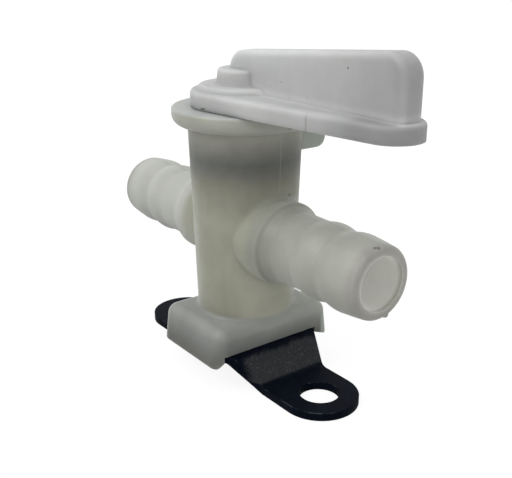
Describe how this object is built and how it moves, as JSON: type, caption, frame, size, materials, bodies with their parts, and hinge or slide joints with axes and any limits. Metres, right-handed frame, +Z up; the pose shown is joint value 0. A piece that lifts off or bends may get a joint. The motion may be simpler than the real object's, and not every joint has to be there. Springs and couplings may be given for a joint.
{
  "type": "shut-off valve",
  "caption": "Inline shut-off valve with a translucent plastic barrel, opposed hose barbs, a white quarter-turn lever handle and a black steel mounting strap.",
  "frame": {"origin": "on the valve's turning axis, at the mounting face under the bracket tabs", "axes": "+Z up along the turning axis, +X along the flow towards the lever's outer end when open"},
  "size_m": [0.0756, 0.0307, 0.0619],
  "materials": {
    "natural_plastic": "natural translucent, satin as moulded",
    "plug_plastic": "natural, smooth as moulded",
    "seal_rubber": "matt black",
    "handle_plastic": "white, satin as moulded",
    "black_steel": "black, semi-gloss paint"
  },
  "bodies": {
    "housing": {"valve_body": "natural_plastic", "bracket": "black_steel"},
    "rotor": {"handle": "handle_plastic", "plug": "plug_plastic", "o_ring": "seal_rubber"}
  },
  "joints": [
    {"name": "handle_turn", "type": "hinge", "parent": "housing", "child": "rotor", "pos_m": [0, 0, 0.0497], "axis": [0, 0, 1], "range_deg": [-90, 0]}
  ]
}
